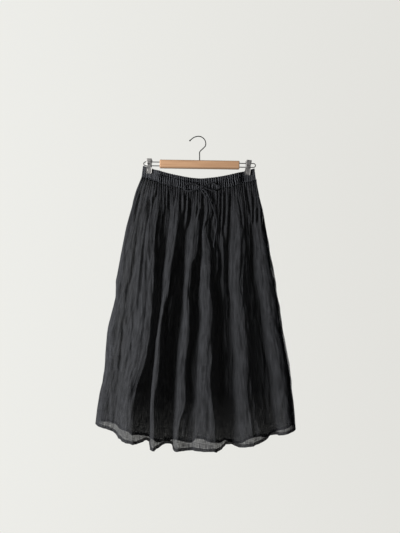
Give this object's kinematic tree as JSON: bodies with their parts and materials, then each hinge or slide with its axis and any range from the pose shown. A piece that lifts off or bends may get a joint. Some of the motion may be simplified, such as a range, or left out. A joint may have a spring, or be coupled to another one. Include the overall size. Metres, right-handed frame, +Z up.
{
  "type": "gathered skirt on a clip hanger",
  "caption": "Long gathered skirt with an elastic drawstring waist, hung by its waistband from a wooden hanger with spring clips and a wire hook.",
  "frame": {"origin": "inner top of the hanger's hook, where a nail or rail carries it", "axes": "+Z up, front of the skirt faces -Y, +X to the right as seen from the front"},
  "size_m": [0.597, 0.1196, 0.9249],
  "materials": {
    "cloth": "matte slubby gauze",
    "drawstring": "matte folded tie",
    "bar_wood": "smooth, satin lacquer",
    "steel": "bright nickel-plated"
  },
  "bodies": {
    "root": {"skirt_front": "cloth", "skirt_back": "cloth", "waistband_front": "cloth", "waistband_back": "cloth", "drawstring_knot": "drawstring", "drawstring_loop_left": "drawstring", "drawstring_loop_right": "drawstring", "drawstring_end_left": "drawstring", "drawstring_end_right": "drawstring", "hanger_bar": "bar_wood", "hanger_hook": "steel", "hanger_rail_left": "steel", "hanger_rail_right": "steel", "clip_left_front": "steel", "clip_left_back": "steel", "clip_left_spring": "steel", "clip_right_front": "steel", "clip_right_back": "steel", "clip_right_spring": "steel"}
  },
  "joints": []
}
